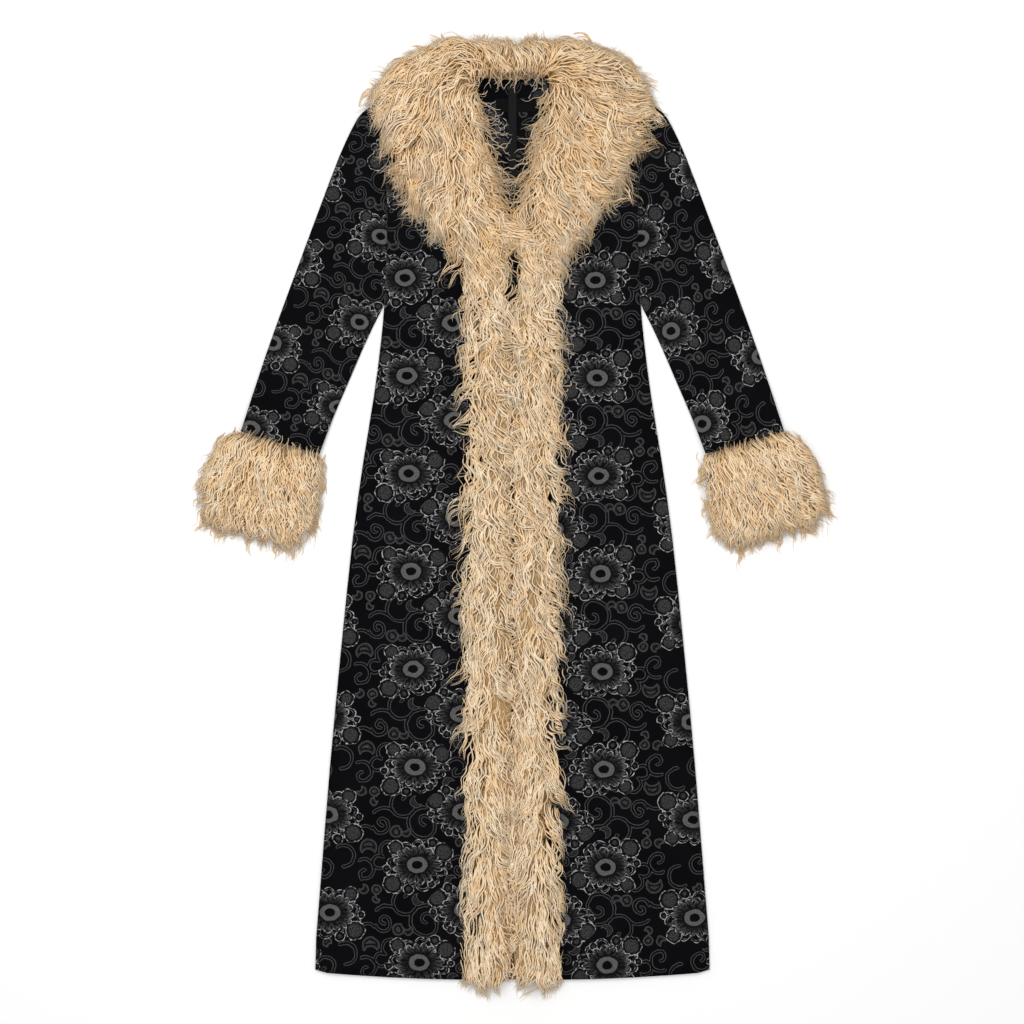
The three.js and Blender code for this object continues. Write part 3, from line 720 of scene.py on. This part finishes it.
def traceWisps(field, side, rng):
    # single loose hairs that hang over the black inside from the neck's edge
    count, steps = wisps["alongV"] + wisps["atNeck"], strand["steps"]
    atNeck = np.arange(count) >= wisps["alongV"]
    y = np.where(atNeck, rng.uniform(*wisps["neckY"], count), rng.uniform(*wisps["rimY"], count))
    rim = np.interp(y, collarRows["y"], collarRows["inner"]) + rng.uniform(*wisps["overRim"], count)
    x = np.where(atNeck, rng.uniform(*wisps["neckX"], count), rim)
    lean = np.where(atNeck, rng.uniform(*wisps["neckLean"], count), rng.uniform(*wisps["lean"], count))
    heading = -np.radians(lean)
    curled = rng.random(count) < wisps["curlShare"]
    bow = np.where(curled, rng.uniform(*wisps["curl"], count), rng.normal(0, wisps["bow"], count))
    length = rng.uniform(*wisps["length"], count) * np.where(atNeck, wisps["neckLength"], 1)
    share = np.linspace(0, 1, steps + 1)[None, :]
    angles = heading[:, None] + np.radians(bow)[:, None] * share
    ahead = np.stack([np.sin(angles), -np.cos(angles)], axis=2)
    track = np.cumsum(ahead * (length / steps)[:, None, None], axis=1)
    path = np.stack([x, y], axis=1)[:, None] + track - track[:, :1]
    sway = rng.uniform(*wisps["swing"], count)[:, None] * np.minimum(1, 3 * share)
    phase = math.tau * share * (length / rng.uniform(*wisps["wave"], count))[:, None]
    path += np.stack([-ahead[..., 1], ahead[..., 0]], axis=2) * (
        sway * np.sin(phase + rng.uniform(0, math.tau, count)[:, None]))[..., None]
    path[..., 0] *= side
    top, under = field.read(field.top, path[:, :1]), field.read(field.under, path)
    fallen = smoothStep(share, 0.0, rng.uniform(*wisps["fallBy"], count)[:, None])
    radii = rng.uniform(*wisps["radius"], count)[:, None] * (0.25 + 0.75 * np.power(1 - share, 0.5))
    height = top + 0.001 + (under + 0.002 - top) * fallen
    height = np.maximum(height, np.minimum(field.read(field.top, path), top) * (share < 0.3))
    return np.concatenate([path, height[..., None]], axis=2), radii


def strandMesh(name, points, radii):
    # closed three-sided tapering tubes, each with its own cell of the UV map
    count, rings = radii.shape
    around = strand["sides"]
    ahead = np.gradient(points, axis=1)
    ahead /= np.linalg.norm(ahead, axis=2, keepdims=True) + 1e-12
    level = np.cross(ahead, np.array([0, 0, 1.0]))
    level /= np.linalg.norm(level, axis=2, keepdims=True) + 1e-9
    above = np.cross(level, ahead)
    turns = math.pi / 2 + math.tau * np.arange(around) / around
    ringShape = (np.cos(turns)[:, None] * level[:, :, None, :]
                 + strand["flatness"] * np.sin(turns)[:, None] * above[:, :, None, :])
    verts = points[:, :, None, :] + radii[:, :, None, None] * ringShape
    # the faces' corners, on the tube's sides and then on its two ends
    corner = np.array([(0, 0), (1, 0), (1, 1), (0, 1)])
    hair, ring, side = (axis[..., None] for axis in np.indices((count, rings - 1, around)))
    side, ring = side + corner[:, 0], ring + corner[:, 1]
    quads = (hair * rings + ring) * around + side % around
    cells = strand["cellColumns"]
    rows = math.ceil(count / cells)
    uv = np.stack([(hair % cells + 0.1 + 0.8 * side / around) / cells,
                   (hair // cells + 0.05 + 0.9 * ring / (rings - 1)) / rows], axis=-1)
    caps = np.concatenate([quads[:, 0, ::-1, 0], quads[:, -1, :, 3]])
    capUv = np.concatenate([uv[:, 0, ::-1, 0], uv[:, -1, :, 3]])
    corners = np.concatenate([quads.reshape(-1), caps.reshape(-1)])
    sizes = np.concatenate([np.full(quads.size // 4, 4), np.full(caps.size // around, around)])
    mesh = bpy.data.meshes.new(name)
    mesh.vertices.add(verts.size // 3)
    mesh.vertices.foreach_set("co", verts.reshape(-1).astype(np.float32))
    mesh.loops.add(len(corners))
    mesh.loops.foreach_set("vertex_index", corners.astype(np.int32))
    mesh.polygons.add(len(sizes))
    mesh.polygons.foreach_set("loop_start", (np.cumsum(sizes) - sizes).astype(np.int32))
    mesh.polygons.foreach_set("loop_total", sizes.astype(np.int32))
    mesh.update(calc_edges=True)
    mesh.polygons.foreach_set("use_smooth", np.ones(len(sizes), bool))
    uvMap = mesh.uv_layers.new(name="OFBake")
    uvMap.data.foreach_set("uv", np.concatenate([uv.reshape(-1), capUv.reshape(-1)]).astype(np.float32))
    piece = bpy.data.objects.new(name, mesh)
    bpy.context.collection.objects.link(piece)
    return piece


# The pelt's two tones are the undercoat's tan; the darker is painted shade in the grooves of its bump pattern
# and deep among the strands.
# The strand's root colour is a tan, partly the fur's own and partly painted shade deep in the fur; its tan
# and pale tones are the fur's own,
# with the pale also a painted highlight on each strand's upper edge and the tan also painted shade on the
# fur's lower layers.
furColours = {
    "hollow": (0.68, 0.40, 0.16, 1), "tanAndShade": (0.79, 0.515, 0.232, 1), "paleAndHighlight": (0.87, 0.79, 0.635, 1),
    "pelt": (0.60, 0.375, 0.165, 1), "peltLitRaised": (0.86, 0.61, 0.325, 1),
}
# What turns a strand from its tan to its pale colour: a painted highlight along its upper edge, a value of
# its own, painted shade that keeps the lower layers darker, its tip, and pale patches; and how soon it leaves
# the root's colour, which is partly painted shade.
furLight = {
    "upperEdgeHighlight": 0.92, "own": 0.20, "layerShade": 0.34, "tip": 0.42, "patches": 0.9, "patchSize": 55.0,
    "darker": 0.65, "rootRise": 12, "layerShadeRise": 0.45,
}


def furMaterial(name, rows, paler):
    material, start, shader = newMaterial(name, 0.75, 0.03)
    # strands fill the map's cells row by row, the lowest of them first
    u, v, _ = start.node("ShaderNodeUVMap", {"uv_map": "OFBake"}).parts()
    cellU, cellV = u * strand["cellColumns"], v * rows
    around, along = cellU.fract(), cellV.fract()
    cell = start.node("ShaderNodeCombineXYZ", {}, {
        0: cellU.maths("FLOOR", cellU), 1: cellV.maths("FLOOR", cellV)})
    own = start.node("ShaderNodeTexWhiteNoise", {"noise_dimensions": "2D"}, {"Vector": cell})
    # painted highlight: a pale line along each strand's upper edge, fading to nothing towards its sides
    edge = (abs(around - 0.5) * 3.75 - 0.5).most(0)
    patches = objectPlace(start).noise(furLight["patchSize"], 2.0)
    light = furLight["upperEdgeHighlight"] * edge * edge * edge + furLight["own"] * own + furLight["patches"] * patches
    # painted shade: strands lower in the fur stay darker than those in the upper layers
    light = light + furLight["layerShade"] * v * v + furLight["tip"] * along * along
    light = light + (paler - furLight["darker"])
    toned = mixColour(light.most(0).least(1), furColours["tanAndShade"], furColours["paleAndHighlight"])
    # the root's colour, partly painted shade deep in the fur, covers each strand's root and more of the lower
    # layers
    risen = furLight["rootRise"] * along + furLight["layerShadeRise"] * v
    feed(material, shader, "Base Color", mixColour(risen.least(1), furColours["hollow"], toned))
    return material


pelt = {
    "grain": 420.0, "distortion": 1.2, "bumpDistance": 0.004,
    "fade": 1.8, "facing": (-0.2, 0.4), "atMiddle": 0.3, "middle": 0.04, "abovePart": 0.01, "gap": 0.0004,
}


def peltMaterial():
    material, start, shader = newMaterial("fur_pelt", 0.95, 0.05)
    spot = objectPlace(start)
    combed = spot.vectorMaths("MULTIPLY", spot, (1, 0.3, 1))
    tufts = combed.noise(pelt["grain"], 2.0, Distortion=pelt["distortion"])
    # painted shade: the undercoat is darker in the grooves of this pattern, which is also its bump, than on
    # its raised streaks
    depth = ((tufts - 0.36) * 3.4).most(0).least(1)
    feed(material, shader, "Base Color", mixColour(depth, furColours["pelt"], furColours["peltLitRaised"]))
    feed(material, shader, "Normal", depth.bump(1.0, pelt["bumpDistance"]))
    return material


peltFinish = peltMaterial()


def peltOf(field, node, look, flow):
    # the dense undercoat below the strands, drawn in where they run out past the fur's outline
    piece = copyOfNode(node, node + "_pelt")
    mesh = piece.data
    lowest = min(vert.co.z for vert in mesh.vertices)
    reach = look["peltInset"] * pelt["fade"]
    slopes = np.gradient(field.inside, field.spacing)
    for vert in mesh.vertices:
        place = np.array(vert.co)
        deep = float(field.read(field.deep, place))
        slope = np.array([field.read(slopes[0], place), field.read(slopes[1], place)])
        slope /= np.linalg.norm(slope) + 1e-3
        facing = smoothStep(-flow(place[None, :2])[0] @ slope, *pelt["facing"])
        facing *= min(1, pelt["atMiddle"] + abs(place[0]) / pelt["middle"])
        inset = look["peltInset"] + float(field.read(field.notch, place))
        inwards = inset * max(0.0, 1 - deep / reach) * max(facing, look["seamInset"])
        vert.co.x += inwards * slope[0]
        vert.co.y += inwards * slope[1]
        atParting = crease["partFrom"] < place[1] < crease["partTo"] + pelt["abovePart"]
        if atParting and abs(place[0]) < crease["peltHalf"]:
            vert.co.x = math.copysign(crease["peltHalf"], place[0])
        moved = np.array(vert.co)
        high = float(field.read(field.top, moved)) - look["peltDepth"]
        low = max(lowest, float(field.read(field.under, moved))) + pelt["gap"]
        vert.co.z = min(vert.co.z, max(high, low))
    wear(piece, peltFinish)
    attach(piece, "root")


def furPiece(field, node, look, flow, seed):
    rng = np.random.default_rng(seed)
    points, radii = traceStrands(field, node, look, flow, rng)
    if look.get("hasWisps"):
        side = np.sign(points[:, 0, 0].mean())
        loosePoints, looseRadii = traceWisps(field, side, rng)
        points, radii = np.concatenate([points, loosePoints]), np.concatenate([radii, looseRadii])
    piece = strandMesh(node + "_hair", points, radii)
    rows = math.ceil(len(points) / strand["cellColumns"])
    piece.data.materials.append(furMaterial(node + "_fur", rows, look["paler"]))
    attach(piece, "root")
    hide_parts(node)
    peltOf(field, node, look, flow)
    print(node, "strands", len(points))


# In each look a range is what a lock draws from, a swing is a share of the wave's length,
# lockWave and ownWave are shifts of the wave in radians, and stray is in degrees.
bandLook = {
    "strands": 2088, "perLock": 4, "tufts": 155, "scatter": 0.0020, "lockRadius": 0.0048, "shortest": 0.014,
    "length": (0.055, 0.096), "wave": (0.032, 0.050), "swing": (0.090, 0.155), "lockWave": 0.48,
    "ownWave": 0.25, "stray": 14, "meet": 0.78, "gather": 0.6, "depth": (-0.0014, 0.0034),
    "tuftDepth": 0.0013, "rootSink": 0.006, "tipDip": 0.0038, "clear": 0.0016, "radius": (0.0016, 0.0026),
    "fineShare": 0.30, "paler": 0.03, "overhang": (0.000, 0.019), "apart": 0.0012, "crossing": 0.1,
    "rootBack": 0.008, "rootAhead": (0.004, 0.034), "peltDepth": 0.0042, "peltInset": 0.019, "seamInset": 0.0,
}
# How the band is combed: across it from the parting to its edge, near the hem, and below the neck.
bandComb = {
    "lean": 30, "parting": 0.036, "spread": 0.038, "edge": (0.078, 0.090), "lessAtEdge": 0.7,
    "hemY": (-0.66, -0.45), "hemX": (0.012, 0.040), "lessAtHem": 0.55,
    "neckY": (0.308, 0.325), "neckX": (0.008, 0.032), "outAtNeck": 0.85,
}


def bandFlow(side):
    # down the front, away from a parting along the band's middle
    def flow(places):
        x, y = places[:, 0] * side, places[:, 1]
        lean = np.clip((x - bandComb["parting"]) / bandComb["spread"], -0.8, 1)
        lean *= 1 - bandComb["lessAtEdge"] * smoothStep(x, *bandComb["edge"])
        atHem = (1 - smoothStep(y, *bandComb["hemY"])) * smoothStep(x, *bandComb["hemX"])
        lean *= 1 - bandComb["lessAtHem"] * atHem
        atNeck = (1 - smoothStep(x, *bandComb["neckX"])) * smoothStep(y, *bandComb["neckY"])
        angles = np.radians(bandComb["lean"] * (lean + bandComb["outAtNeck"] * atNeck))
        return np.stack([side * np.sin(angles), -np.cos(angles)], axis=1)
    return flow


collarLook = {
    "strands": 2260, "perLock": 4, "tufts": 105, "scatter": 0.0020, "lockRadius": 0.0052, "shortest": 0.009,
    "length": (0.062, 0.110), "wave": (0.036, 0.058), "swing": (0.080, 0.140), "lockWave": 0.45,
    "ownWave": 0.25, "stray": 13, "meet": 0.86, "gather": 0.65, "depth": (-0.0024, 0.0062),
    "tuftDepth": 0.0034, "rootSink": 0.008, "tipDip": 0.0055, "clear": 0.0016, "radius": (0.0016, 0.0027),
    "fineShare": 0.36, "paler": -0.13, "overhang": (-0.003, 0.018), "crossing": 0.15, "hasWisps": True,
    "rootBack": 0.024, "rootAhead": (0.003, 0.034), "peltDepth": 0.007, "peltInset": 0.025, "seamInset": 0.14,
}
# The parting as a share of the collar's width, the lean into the V inside it, and the stretch
# at the back neck where the hair stands up instead.
collarComb = {
    "parting": 0.34, "blend": 0.06, "innerLean": -36, "vTop": (0.61, 0.65),
    "standY": (0.640, 0.655), "standX": (0.045, 0.085), "standing": (0.12, 1.0),
}

# Up the collar: its inner and outer edge, and the hair's lean away from straight down
# at the parting and at the outer edge.
collarRows = {
    "y": (0.384, 0.420, 0.450, 0.480, 0.515, 0.550, 0.582, 0.607, 0.640, 0.670, 0.700, 0.720),
    "inner": (0.001, 0.002, 0.005, 0.013, 0.022, 0.031, 0.039, 0.044, 0.048, 0.050, 0.050, 0.050),
    "outer": (0.081, 0.110, 0.131, 0.152, 0.173, 0.190, 0.202, 0.208, 0.204, 0.185, 0.140, 0.110),
    "mid": (0, 0, 2, 4, 6, 10, 16, 26, 48, 72, 92, 100),
    "lean": (16, 24, 28, 34, 40, 46, 52, 58, 68, 82, 96, 104),
}


def collarFlow(side):
    # down and out from a parting, down into the V inside it, and up at the back neck
    def flow(places):
        x, y = places[:, 0] * side, places[:, 1]
        inner, outer, mid, lean = (np.interp(y, collarRows["y"], collarRows[name])
                                   for name in ("inner", "outer", "mid", "lean"))
        share = (x - inner) / (outer - inner)
        intoV = (1 - smoothStep(share, 0, collarComb["parting"])) * (1 - smoothStep(y, *collarComb["vTop"]))
        outwards = smoothStep(share, collarComb["parting"] - collarComb["blend"], 1)
        lean = collarComb["innerLean"] * intoV + mid * (1 - intoV) * (1 - outwards) + lean * outwards
        ahead = np.stack([np.sin(np.radians(lean)), -np.cos(np.radians(lean))], axis=1)
        standing = smoothStep(y, *collarComb["standY"]) * (1 - smoothStep(x, *collarComb["standX"]))
        upwards = np.array(collarComb["standing"]) * standing[:, None]
        return unit(ahead * (1 - standing[:, None]) + upwards) * np.array([side, 1])
    return flow


cuffLook = {
    "strands": 1230, "perLock": 4, "tufts": 70, "scatter": 0.0018, "lockRadius": 0.0046, "shortest": 0.010,
    "length": (0.050, 0.090), "wave": (0.028, 0.044), "swing": (0.075, 0.125), "lockWave": 0.5,
    "ownWave": 0.28, "stray": 7, "meet": 0.65, "gather": 0.6, "depth": (-0.0025, 0.0050),
    "tuftDepth": 0.0014, "rootSink": 0.006, "tipDip": 0.005, "clear": 0.0016, "radius": (0.0017, 0.0027),
    "fineShare": 0.33, "paler": -0.09, "overhang": (-0.004, 0.014), "pressedShare": 0.15,
    "rootBack": 0.024, "rootAhead": (0.002, 0.022), "peltDepth": 0.006, "peltInset": 0.012, "seamInset": 0.14,
}
# The middle of the seam above the cuff, the direction along that seam, and the hair's fan in degrees.
cuffComb = {"seamMiddle": (0.35025, 0.109), "across": (0.961, 0.2758), "fan": 26, "halfWidth": 0.085}


def cuffFlow(side):
    # down the arm and fanning out to both sides
    middle, across = np.array(cuffComb["seamMiddle"]), np.array(cuffComb["across"])
    down = np.array([across[1], -across[0]])

    def flow(places):
        here = places * np.array([side, 1]) - middle
        share = np.clip(here @ across / cuffComb["halfWidth"], -1.1, 1.1)
        angles = np.radians(cuffComb["fan"]) * share
        ahead = np.cos(angles)[:, None] * down + np.sin(angles)[:, None] * across
        return ahead * np.array([side, 1])
    return flow


fallLook = {
    "strands": 300, "perLock": 3, "tufts": 60, "scatter": 0.003, "lockRadius": 0.005, "shortest": 0.012,
    "length": (0.050, 0.080), "wave": (0.030, 0.050), "swing": (0.040, 0.080), "lockWave": 0.8,
    "ownWave": 0.4, "stray": 14, "meet": 0.4, "gather": 0.6, "depth": (0.0005, 0.0040),
    "tuftDepth": 0.0005, "rootSink": 0.002, "tipDip": 0.001, "clear": 0.0006, "radius": (0.0014, 0.0024),
    "fineShare": 0.4, "paler": 0.0, "overhang": (-0.004, 0.006), "pressedShare": 0.7,
    "rootBack": 0.0, "rootAhead": (0.002, 0.012), "peltDepth": 0.0015, "peltInset": 0.004, "seamInset": 0.0,
}
fallCentre = (0, 0.62)


def fallFlow(places):  # outwards on all sides from the yoke's middle
    return unit(places - np.array(fallCentre))


clothNodes = ["back_left", "back_right", "front_left", "front_right", "sleeve_left", "sleeve_right"]
for node in clothNodes:
    clothPiece(node)
print("cloth made")

frontFurs = [part + name for part in ("fur_front_", "fur_collar_", "fur_cuff_") for name in sides]
frontField = FurField(frontFurs, clothNodes)
print("fur measured")
for name, side in sides.items():
    furPiece(frontField, "fur_front_" + name, bandLook, bandFlow(side), 11 + side)
    furPiece(frontField, "fur_collar_" + name, collarLook, collarFlow(side), 21 + side)
    furPiece(frontField, "fur_cuff_" + name, cuffLook, cuffFlow(side), 31 + side)
furPiece(FurField(["fur_collar_fall"], []), "fur_collar_fall", fallLook, fallFlow, 41)
print("fur made")

# The two trims in the neck: their threads' two colours, and the ribs' pitch in radians per metre.
trims = {
    "tape_twill": {"node": "back_seam_tape", "ribs": 4200, "dark": (0.007, 0.007, 0.008, 1),
                   "light": (0.013, 0.013, 0.014, 1)},
    "label_satin": {"node": "neck_label", "ribs": 9000, "dark": (0.0025, 0.0025, 0.003, 1),
                    "light": (0.005, 0.005, 0.006, 1)},
}
for name, trim in trims.items():
    material, start, shader = newMaterial(name, 0.7, 0.04)
    _, y, _ = objectPlace(start).parts()
    rib = (y * trim["ribs"]).sine() * 0.5 + 0.5
    feed(material, shader, "Base Color", mixColour(rib, trim["dark"], trim["light"]))
    feed(material, shader, "Normal", rib.bump(0.4, 0.0003))
    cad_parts[trim["node"]].material_slots[0].material = material
print("trims finished")


studio = {
    "floorSize": 12.0, "floorColour": (0.93, 0.93, 0.93, 1),
    "keyPower": 30.0, "keySize": 1.6, "keyPlace": (-0.7, 1.5, 3.0), "lightsAim": (0, 0.1, 0),
    "fillPower": 118.0, "fillSize": 4.5, "fillPlace": (0, 0, 4.2), "world": 0.42,
    "lens": 100.0, "sensor": 36.0, "viewWidth": 1.536, "aim": (-0.00075, 0.0045, 0.03),
}


def makeFloor():
    bpy.ops.mesh.primitive_plane_add(size=studio["floorSize"], location=(0, 0, 0))
    floor = bpy.context.object
    floor.name = "floor"
    material, _, shader = newMaterial("floor_paper", 0.95, 0.1)
    shader.inputs["Base Color"].default_value = studio["floorColour"]
    floor.data.materials.append(material)


def areaLight(name, place, size, power):
    data = bpy.data.lights.new(name, "AREA")
    data.shape, data.size, data.energy = "DISK", size, power
    lamp = bpy.data.objects.new(name, data)
    lamp.location = place
    lamp.rotation_euler = (Vector(studio["lightsAim"]) - Vector(place)).to_track_quat("-Z", "Y").to_euler()
    bpy.context.collection.objects.link(lamp)


def whiteWorld():
    world = bpy.data.worlds.new("studio")
    world.use_nodes = True
    background = world.node_tree.nodes["Background"]
    background.inputs["Strength"].default_value = studio["world"]
    background.inputs["Color"].default_value = (1, 1, 1, 1)
    bpy.context.scene.world = world


def cameraAbove():  # straight above the coat, looking down on it
    data = bpy.data.cameras.new("camera")
    data.lens, data.sensor_width = studio["lens"], studio["sensor"]
    camera = bpy.data.objects.new("camera", data)
    x, y, z = studio["aim"]
    camera.location = (x, y, z + studio["viewWidth"] * studio["lens"] / studio["sensor"])
    bpy.context.collection.objects.link(camera)
    bpy.context.scene.camera = camera


makeFloor()
areaLight("key", studio["keyPlace"], studio["keySize"], studio["keyPower"])
areaLight("overhead", studio["fillPlace"], studio["fillSize"], studio["fillPower"])
whiteWorld()
cameraAbove()
bpy.context.scene.view_settings.view_transform = "Standard"
print("studio made")
